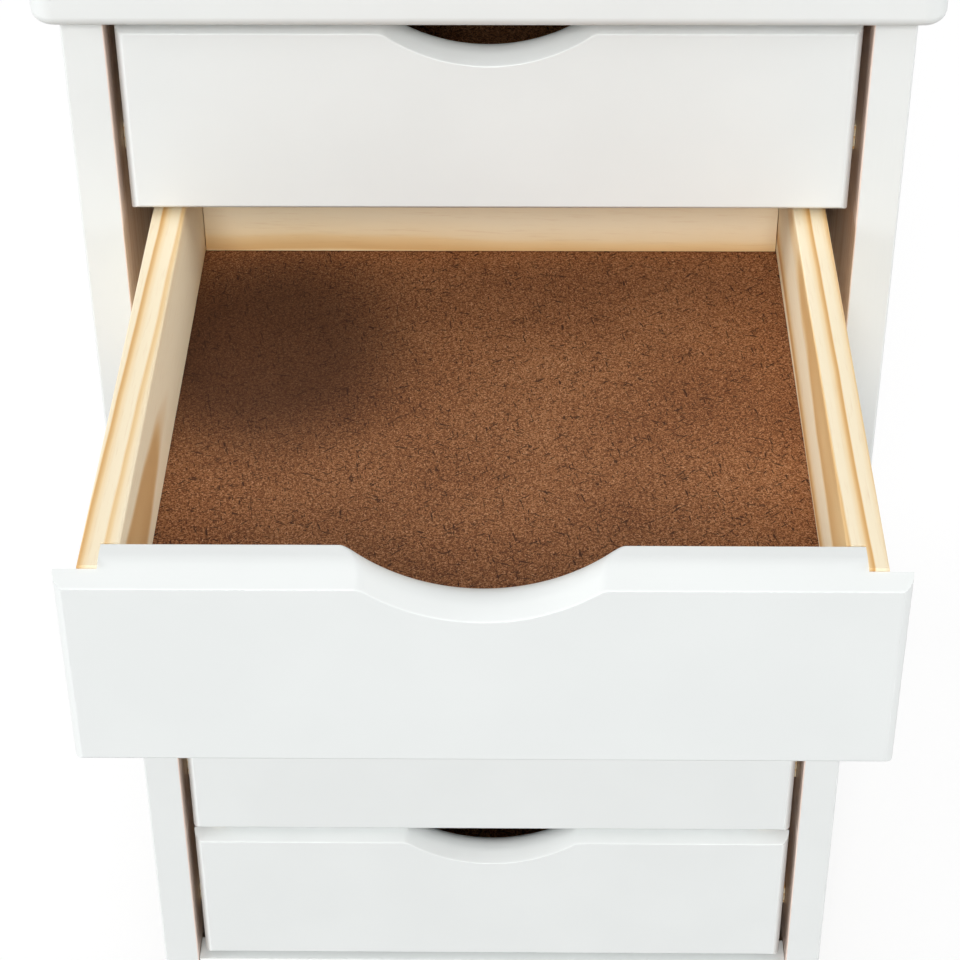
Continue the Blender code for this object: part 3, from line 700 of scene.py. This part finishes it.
# The fork: a plate bent into a U across x and z and carried along y, whose legs narrow to a round boss
# at the axle
def forkShell(stem):
    look = casterLook
    half, bend, crown, boss = look["legHalf"], look["bend"], look["crown"], look["boss"]
    axleHeight = look["treadOuter"]
    low = axleHeight - boss * np.sin(np.radians(look["bossAngles"]))
    leg = np.concatenate([low, np.linspace(axleHeight, look["skirt"], look["legRows"]), [crown - bend]])
    turn = np.linspace(0, quarterTurn, look["bendRows"])[1:]
    x = np.concatenate([np.full(len(leg), half), half - bend + bend * np.cos(turn), [look["crownHalf"]]])
    z = np.concatenate([leg, crown - bend + bend * np.sin(turn), [crown]])
    lean = np.concatenate([np.zeros(len(leg)), turn, [quarterTurn]])
    x, z = np.concatenate([x, -x[::-1]]), np.concatenate([z, z[::-1]])
    facing = np.stack([np.concatenate([np.cos(lean), -np.cos(lean[::-1])]),
                       np.concatenate([np.sin(lean), np.sin(lean[::-1])])], -1)
    rise = np.clip((z - axleHeight) / (look["skirt"] - axleHeight), 0, 1)
    bossSpan = np.sqrt(np.clip(boss**2 - np.clip(axleHeight - z, 0, boss) ** 2, 0, None))
    ahead = (look["trail"] - bossSpan) * (1 - rise) + look["ahead"] * rise
    behind = (look["trail"] + bossSpan) * (1 - rise) + look["behind"] * rise
    edgeShares = np.array(look["edgeShares"])
    share = np.concatenate([edgeShares, np.linspace(*look["plainShares"]), 1 - edgeShares[::-1]])
    y = ahead[:, None] + (behind - ahead)[:, None] * share
    border = np.minimum(share, 1 - share) * (behind - ahead)[:, None]
    bulge = look["plate"] / 2 - soften(border, look["plateEdge"])
    points = np.stack([np.stack([x[:, None] + side * facing[:, :1] * bulge, y,
                                 z[:, None] + side * facing[:, 1:] * bulge], -1) for side in (1, -1)])
    return points + np.array([stem[0], stem[1], 0]), wholeGrid(x, share)


def caster(end, hand):
    look = casterLook
    base = f"caster_{end}_{hand}"
    wheelBody = f"wheel_{end}_{hand}"
    wheelLow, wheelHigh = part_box(base + "_wheel")
    axle = (wheelLow + wheelHigh) / 2
    axle.z = look["treadOuter"]
    stem = (axle.x, axle.y - look["trail"])
    # a rounded block: the tread's section is a superellipse
    angle = np.arange(look["treadSteps"]) * 2 * math.pi / look["treadSteps"]
    cosine, sine = np.cos(angle), np.sin(angle)
    middle = (look["treadOuter"] + look["treadInner"]) / 2
    tall = (look["treadOuter"] - look["treadInner"]) / 2
    bulge = 2 / look["treadPower"]
    tread = np.stack([look["treadHalf"] * np.sign(cosine) * np.abs(cosine) ** bulge,
                      middle + tall * np.sign(sine) * np.abs(sine) ** bulge], -1)
    turnedPiece(base + "_tread", tread, 0, axle, treadRubber, wheelBody, [base + "_wheel"],
                look["wheelAround"], joined=True)
    right = np.array(look["coreProfile"])
    core = np.concatenate([right, (right * (-1, 1))[::-1]])
    turnedPiece(base + "_core", core, 0, axle, corePlastic, wheelBody, [base + "_wheel"],
                look["wheelAround"], joined=True)
    dome = np.linspace(0, quarterTurn, look["domeRows"])
    head = np.stack([look["axleHead"] + look["axleDome"] * np.sin(dome),
                     look["headRadius"] * np.cos(dome)], -1)
    pin = np.concatenate([[(0, look["axleRadius"]), (look["axleHead"], look["axleRadius"])], head])
    pin = np.concatenate([(pin[1:] * (-1, 1))[::-1], pin])
    turnedPiece(base + "_rivet", pin, 0, axle, zinc, base, [base + "_axle"], look["pinAround"])
    points, solid = forkShell(stem)
    makePiece(base + "_fork_plate", points, shellFaces(solid), zinc, base, [base + "_fork"])
    turnedPiece(base + "_swivel_head", look["swivelProfile"], 2, (*stem, 0), zinc, base,
                [base + "_fork"], look["swivelAround"])
    turnedPiece(base + "_king_pin", look["kingPin"], 2, (*stem, 0), zinc, base,
                [base + "_fork"], look["pinAround"])


for end in ends:
    for hand in hands:
        caster(end, hand)
print("casters made")


# Pins that hold the hardboard back in its rebates: small domed heads, all in one mesh
pinLook = {
    "radius": 0.0016, "dome": 0.0006, "root": 0.0004, "domeRows": 5, "around": 12,
    "inset": 0.0042, "gap": 0.075, "endInset": 0.02,  # down the two sides
    "baseHeight": 0.009, "baseInset": 0.05, "baseCount": 4,  # along the base
}


def backPins():
    low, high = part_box("back_panel")
    inset, radius, endInset = pinLook["inset"], pinLook["radius"], pinLook["endInset"]
    count = round((high.z - low.z - 2 * endInset) / pinLook["gap"]) + 1
    heights = np.linspace(low.z + endInset, high.z - endInset, count)
    across = np.linspace(low.x + pinLook["baseInset"], high.x - pinLook["baseInset"], pinLook["baseCount"])
    spots = [(x, z) for x in (low.x + inset, high.x - inset) for z in heights]
    spots = np.array(spots + [(x, low.z + pinLook["baseHeight"]) for x in across])
    dome = np.linspace(0, quarterTurn, pinLook["domeRows"])[:-1]
    out = np.append(-pinLook["root"], pinLook["dome"] * np.sin(dome))[:, None]
    width = np.append(radius, radius * np.cos(dome))[:, None]
    angle = np.arange(pinLook["around"]) * 2 * math.pi / pinLook["around"]
    one = np.stack([width * np.cos(angle), np.repeat(out, len(angle), 1), width * np.sin(angle)], -1)
    places = np.stack([spots[:, 0], np.full(len(spots), high.y), spots[:, 1]], -1)
    points = one[None] + places[:, None, None]
    size = one.shape[0] * one.shape[1]
    pinFaces = ringFaces(*one.shape[:2])
    faces = [[corner + k * size for corner in face] for k in range(len(spots)) for face in pinFaces]
    return makePiece("back_panel_pins", points, faces, zinc, "cabinet")


backPins()
print("back pins made")


# 1 for a ray that shows the background: the camera's, a reflection's or one through a clear piece
def seenRay(tree):
    path = addNode(tree, "LightPath")
    seen = path["Is Camera Ray"]
    for kind in ("Is Glossy Ray", "Is Transmission Ray"):
        seen = addNode(tree, "Math", {0: seen, 1: path[kind]}, operation="MAXIMUM")[0]
    return seen


# Stage: a pale floor, white to the camera away from the object, that keeps the object's shadow
stageLook = {"half": 12.0, "floor": "#989898", "rough": 0.9, "lift": 0.70, "fadeFrom": 0.75, "fadeTo": 1.7}
white = (1, 1, 1, 1)
floorMesh = bpy.data.meshes.new("floor")
half = stageLook["half"]
floorCorners = [(-half, -half, 0), (half, -half, 0), (half, half, 0), (-half, half, 0)]
floorMesh.from_pydata(floorCorners, [], [(0, 1, 2, 3)])
floor = bpy.data.objects.new("floor", floorMesh)
bpy.context.scene.collection.objects.link(floor)
floorFinish, tree, shader = newMaterial(
    "studio_floor", Roughness=stageLook["rough"], Base_Color=linear(stageLook["floor"]))
away = addNode(tree, "VectorMath", {0: addNode(tree, "TexCoord")["Object"]}, operation="LENGTH")["Value"]
fade = addNode(tree, "MapRange", {
    "Value": away, "From Min": stageLook["fadeFrom"], "From Max": stageLook["fadeTo"]},
    interpolation_type="SMOOTHSTEP")[0]
bright = addNode(tree, "Emission", {"Color": white, "Strength": 1.0})[0]
glow = addNode(tree, "Emission", {"Color": white, "Strength": stageLook["lift"]})[0]
near = addNode(tree, "AddShader", {0: shader.outputs[0], 1: glow})[0]
shown = addNode(tree, "MixShader", {0: fade, 1: near, 2: bright})[0]
final = addNode(tree, "MixShader", {0: seenRay(tree), 1: shader.outputs[0], 2: shown})[0]
tree.links.new(final, tree.nodes["Material Output"].inputs["Surface"])
floorMesh.materials.append(floorFinish)

# Light: a low soft key far off in front, a weaker one to either side, and an even white surround
lightLook = {
    "world": 0.5, "aim": (0.0, -0.15, 0.5), "away": 12.0, "size": 3.6,
    "lamps": {  # degrees and watts
        "key": {"left": 3, "up": 31, "power": 770}, "leftFill": {"left": 80, "up": 15, "power": 640},
        "rightFill": {"left": -80, "up": 15, "power": 415}},
}
world = bpy.data.worlds.new("studio")
bpy.context.scene.world = world
world.use_nodes = True
tree = world.node_tree
level = addNode(tree, "MapRange", {"Value": seenRay(tree), "To Min": lightLook["world"], "To Max": 1.0})[0]
surround = tree.nodes["Background"]
surround.inputs["Color"].default_value = white
connect(tree, surround, {"Strength": level})

for name, look in lightLook["lamps"].items():
    left, lifted = math.radians(look["left"]), math.radians(look["up"])
    towards = Vector((
        -math.sin(left) * math.cos(lifted), -math.cos(left) * math.cos(lifted), math.sin(lifted)))
    lamp = bpy.data.lights.new(name, "AREA")
    lamp.size, lamp.energy = lightLook["size"], look["power"]
    lampObject = bpy.data.objects.new(name, lamp)
    lampObject.location = Vector(lightLook["aim"]) + towards * lightLook["away"]
    lampObject.rotation_euler = towards.to_track_quat("Z", "Y").to_euler()
    bpy.context.scene.collection.objects.link(lampObject)

# Camera, fitted to the edges in the photograph
cameraView = {
    "place": (0.01092, -0.95781, 1.08477), "yaw": -0.965, "pitch": 37.132, "roll": -0.395,  # degrees
    "focal": 2599.2, "frame": 960,  # pixels
    "sensor": 36,  # millimetres
}
yaw, pitch, roll = (math.radians(cameraView[k]) for k in ("yaw", "pitch", "roll"))
ahead = Vector((math.sin(yaw) * math.cos(pitch), math.cos(yaw) * math.cos(pitch), -math.sin(pitch)))
right = Vector((math.cos(yaw), -math.sin(yaw), 0))
up = right.cross(ahead)
right, up = math.cos(roll) * right + math.sin(roll) * up, math.cos(roll) * up - math.sin(roll) * right
lens = bpy.data.cameras.new("camera")
lens.sensor_width = cameraView["sensor"]
lens.lens = cameraView["focal"] / cameraView["frame"] * cameraView["sensor"]
cameraObject = bpy.data.objects.new("camera", lens)
turn = Matrix((right, up, -ahead)).transposed().to_4x4()
cameraObject.matrix_world = Matrix.Translation(cameraView["place"]) @ turn
bpy.context.scene.collection.objects.link(cameraObject)
bpy.context.scene.camera = cameraObject
bpy.context.scene.view_settings.view_transform = "Standard"
print("stage, light and camera set")
